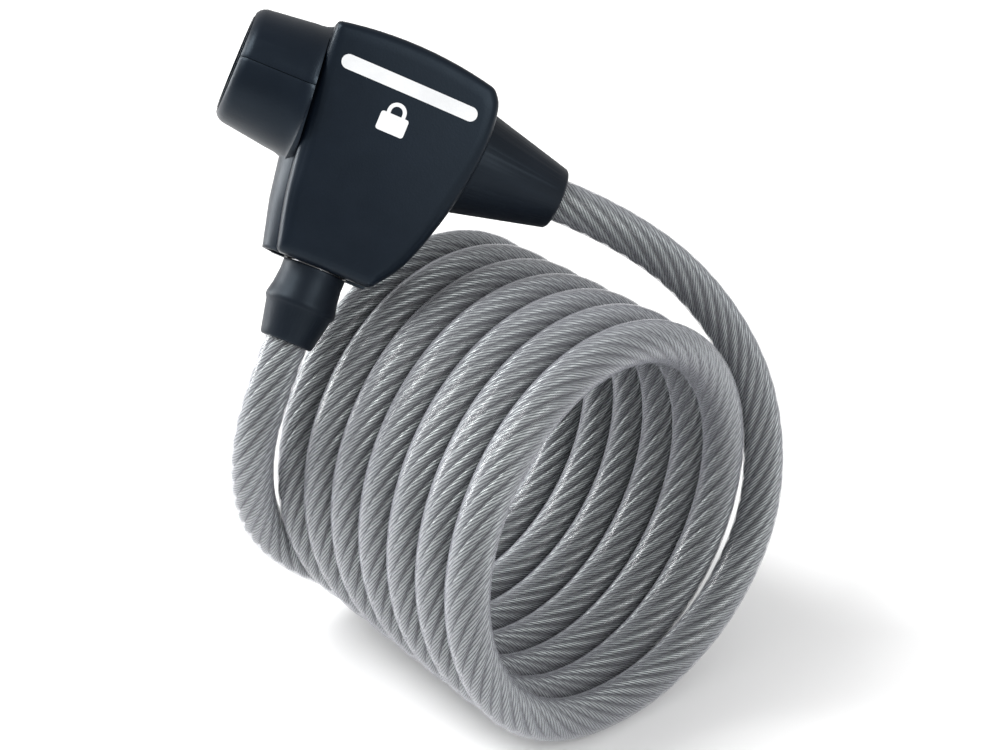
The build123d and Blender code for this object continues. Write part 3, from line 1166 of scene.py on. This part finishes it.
@dataclass
class FaceMark:
    """Plain printed mark on the face: a bar with round ends over a small padlock sign."""

    head: HeadFrame
    face: FaceSkin
    bar: tuple[float, float, float, float] = (-10.4, 15.4, 4.9, 7.5)
    lock: tuple[float, float, float, float] = (-0.6, 4.6, -2.6, 0.8)
    shackle_r: tuple[float, float] = (1.75, 1.05)
    shackle_rise: float = 0.5
    lock_corner: float = 0.5
    thick: float = 0.03
    sunk: float = 0.01
    tip: float = 0.02
    sides: int = 7
    bar_steps: int = 24

    def depth(self, x: float, height: float) -> float:
        """How far the crowned face stands in front of the plug's axis at one place."""
        return self.face.depth(height) + self.face.swelling(x, height)

    def on_face(self, x: float, height: float, lift: float) -> Vector:
        """A point a little in front of the crowned face, or behind it where the lift is negative."""
        return self.head.at(x, -self.depth(x, height) - lift, height)

    def rounded(self, box: tuple[float, float, float, float], radius: float) -> list[tuple[float, float]]:
        """Outline of a rectangle with round corners.

        Args:
            box: left, right, bottom and top.
            radius: corner radius.

        Returns:
            The outline's points, anticlockwise.
        """
        left, right, low, high = box
        corners = [(right - radius, high - radius, 0), (left + radius, high - radius, 90)]
        corners += [(left + radius, low + radius, 180), (right - radius, low + radius, 270)]
        points = []
        for x, h, start in corners:
            for step in range(self.sides):
                angle = math.radians(start + 90 * step / (self.sides - 1))
                points.append((x + radius * math.cos(angle), h + radius * math.sin(angle)))
        return points

    def bow(self) -> list[tuple[float, float]]:
        """Outline of the padlock's shackle, which stands on its body.

        Returns:
            The outline's points, anticlockwise.
        """
        left, right, _, top = self.lock
        middle = (left + right) / 2
        outer, inner = self.shackle_r
        steps = [math.radians(180 * step / (2 * self.sides)) for step in range(2 * self.sides + 1)]
        up = top + self.shackle_rise
        over = [(middle + outer * math.cos(a), up + outer * math.sin(a)) for a in steps]
        under = [(middle + inner * math.cos(a), up + inner * math.sin(a)) for a in reversed(steps)]
        feet = [(middle + side, top) for side in (outer, -outer, -inner, inner)]
        return [feet[0], *over, feet[1], feet[2], *under, feet[3]]

    def strip(self, work: bmesh.types.BMesh) -> None:
        """Adds the bar, in columns that follow the crowned face.

        Args:
            work: the mesh to add to.
        """
        left, right, low, high = self.bar
        middle, radius = (low + high) / 2, (high - low) / 2
        ends = [radius * (1 - math.cos(math.radians(90 * k / self.sides))) for k in range(self.sides)]
        straight = [float(x) for x in np.linspace(left + radius, right - radius, self.bar_steps)]
        columns = [left + end for end in ends] + straight + [right - end for end in reversed(ends)]
        low_lift, high_lift = -self.sunk, self.thick
        section = (
            (-1, low_lift), (-1, high_lift), (0, high_lift), (1, high_lift), (1, low_lift), (0, low_lift),
        )
        rows = []
        for x in columns:
            inside = min(x - left, right - x, radius)
            reach = math.sqrt(max(self.tip**2, radius**2 - (radius - inside) ** 2))
            points = [self.on_face(x, middle + share * reach, lift) for share, lift in section]
            rows.append([work.verts.new(point) for point in points])
        for row, after in zip(rows, rows[1:]):
            bridge(work, row, after)
        work.faces.new(rows[0])
        work.faces.new(rows[-1])

    def build(self, finishes: FinishBook) -> bpy.types.Object:
        """Builds the mark as thin ink on the face.

        Args:
            finishes: the materials.

        Returns:
            The mark's object.
        """
        work = bmesh.new()
        self.strip(work)
        for outline in (self.rounded(self.lock, self.lock_corner), self.bow()):
            back, front = (
                [work.verts.new(self.on_face(x, height, lift)) for x, height in outline]
                for lift in (-self.sunk, self.thick)
            )
            work.faces.new(front)
            work.faces.new(list(reversed(back)))
            bridge(work, back, front)
        mesh = closed_mesh(work, "face_mark", finishes.get("ink"), smooth=False, triangles=True)
        mark = placed("face_mark", mesh)
        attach(mark, "head")
        return mark


@dataclass
class ReturnSpring:
    """The bolt's return spring, which the bolt's ear presses together as the key turns; here it is shown as
    its CAD node and is not pressed together.
    """

    head: HeadFrame
    fixed_end: float = -2.4
    offset: float = 5.9
    keep: float = 0.52

    def build(self, frame: dict, finishes: FinishBook) -> bpy.types.Object:
        """Builds the spring from its CAD node.

        Args:
            frame: the loaded frame.
            finishes: the materials.

        Returns:
            The spring's object.
        """
        mesh = frame["nodes"]["latch_spring"].data.copy()
        mesh.materials.clear()
        mesh.materials.append(finishes.get("steel"))
        spring = placed("return_spring", mesh)
        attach(spring, "head")
        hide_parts("latch_spring")
        anchor = self.head.at(self.fixed_end, self.offset, 0)
        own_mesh(spring)
        return spring


@dataclass
class CarriedPieces:
    """CAD nodes that are shown as they are, each in its own finish."""

    nodes: dict[str, str] = field(default_factory=lambda: {
        "plug_pin": "steel", "plug_ferrule": "steel", "lock_block": "die_cast", "lock_cylinder": "brass",
        "key_core": "brass", "wafers": "brass", "dust_shutter": "chrome", "key_bezel": "housing",
        "drive_cam": "die_cast", "latch_bolt": "die_cast", "socket_bush": "black_steel",
        "socket_seal": "rubber", "anchor_ferrule": "steel", "anchor_pin": "steel",
        "cylinder_set_screw": "steel", "core_retaining_pin": "steel", "cover_screws": "steel",
    })

    def build(self, frame: dict, finishes: FinishBook) -> None:
        """Dresses the nodes.

        Args:
            frame: the loaded frame.
            finishes: the materials.
        """
        for node, finish in self.nodes.items():
            mesh = frame["nodes"][node].data
            mesh.materials.clear()
            mesh.materials.append(finishes.get(finish))
            LOG.info("dressed %s", node)


# ---- studio --------------------------------------------------------------------------------------
@dataclass(frozen=True)
class SoftBox:
    """One rectangular light: its place and size in metres, and its power in watts."""

    name: str
    place: tuple[float, float, float]
    size: tuple[float, float]
    power: float


@dataclass
class Studio:
    """Pale floor, soft lights and the camera."""

    camera_at: tuple[float, float, float] = (0.23044, -0.23859, 0.25004)
    right: tuple[float, float, float] = (0.69785, 0.71478, 0.04584)
    down: tuple[float, float, float] = (0.38396, -0.31930, -0.86638)
    forward: tuple[float, float, float] = (-0.60463, 0.62221, -0.49727)
    lens: float = 73.46
    floor_size: float = 3.0
    sky_strength: float = 0.62
    aim: tuple[float, float, float] = (-0.01, 0.0, 0.06)
    boxes: tuple[SoftBox, ...] = (
        SoftBox("key", (-0.35, -0.45, 0.80), (0.45, 0.45), 8.0),
        SoftBox("side", (-0.70, -0.30, 0.22), (0.25, 0.60), 6.0),
        SoftBox("fill", (0.75, -0.05, 0.55), (0.40, 0.60), 3.5),
    )

    def floor(self) -> None:
        """A plain pale floor just under the object."""
        mesh = bpy.data.meshes.new("studio_floor")
        half = self.floor_size / 2
        corners = [(-half, -half, 0), (half, -half, 0), (half, half, 0), (-half, half, 0)]
        mesh.from_pydata(corners, [], [(0, 1, 2, 3)])
        shader = Shader("studio_floor").set(Base_Color=(0.93, 0.93, 0.93, 1.0), Roughness=0.9)
        shader.set(Specular_IOR_Level=0.1)
        mesh.materials.append(shader.material)
        placed("studio_floor", mesh)

    def light(self, box: SoftBox) -> None:
        """Adds one soft box that looks at the object.

        Args:
            box: the soft box.
        """
        data = bpy.data.lights.new(box.name, "AREA")
        data.shape = "RECTANGLE"
        data.size, data.size_y = box.size
        data.energy = box.power
        lamp = placed(box.name, data)
        lamp.location = box.place
        ray = Vector(self.aim) - Vector(box.place)
        lamp.rotation_euler = ray.to_track_quat("-Z", "Y").to_euler()

    def sky(self) -> None:
        """A soft white surround."""
        world = bpy.data.worlds.new("surround")
        world.use_nodes = True
        background = world.node_tree.nodes["Background"]
        background.inputs["Color"].default_value = (1.0, 1.0, 1.0, 1.0)
        background.inputs["Strength"].default_value = self.sky_strength
        bpy.context.scene.world = world

    def camera(self) -> None:
        """The camera, a little above the object and to one side of its coil."""
        data = bpy.data.cameras.new("view")
        data.lens = self.lens
        data.sensor_width = 36.0
        data.clip_start = 0.01
        made = placed("view", data)
        up = -Vector(self.down)
        turn = Matrix((Vector(self.right), up, -Vector(self.forward))).transposed().to_4x4()
        made.matrix_world = Matrix.Translation(self.camera_at) @ turn
        bpy.context.scene.camera = made

    def build(self) -> None:
        """Sets up the whole studio."""
        self.floor()
        self.sky()
        for box in self.boxes:
            self.light(box)
        self.camera()
        bpy.context.scene.view_settings.view_transform = "Standard"


def main() -> None:
    """Builds the whole object and its studio."""
    logging.basicConfig(level=logging.INFO, format="%(name)s: %(message)s")
    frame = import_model()
    finishes = FinishBook()
    head = HeadFrame.from_joints(frame["joints"])
    CarriedPieces().build(frame, finishes)
    shells = (
        MouldedShell("upper_housing", "housing", Slot.HOUSING, "head"),
        MouldedShell("lower_housing", "housing", Slot.HOUSING, "head"),
        MouldedShell("back_cover", "housing", Slot.HOUSING, "head"),
        MouldedShell("cable_boot", "boot", Slot.BOOT, "head"),
        MouldedShell("plug_sleeve", "boot", Slot.BOOT, "cable"),
    )
    pieces = [shell.build(frame, finishes) for shell in shells]
    face = FaceSkin(head)
    pieces.append(face.build(finishes))
    pieces.append(SideWall(head, face).build(finishes))
    pieces.append(ReturnSpring(head).build(frame, finishes))
    pieces.append(FaceMark(head, face).build(finishes))
    pieces += SpiralCable(CableRoute(head), finishes).build()
    for piece in pieces:
        LOG.info("built %s, %d faces", piece.name, len(piece.data.polygons))
    Studio().build()


if __name__ == "__main__":
    main()
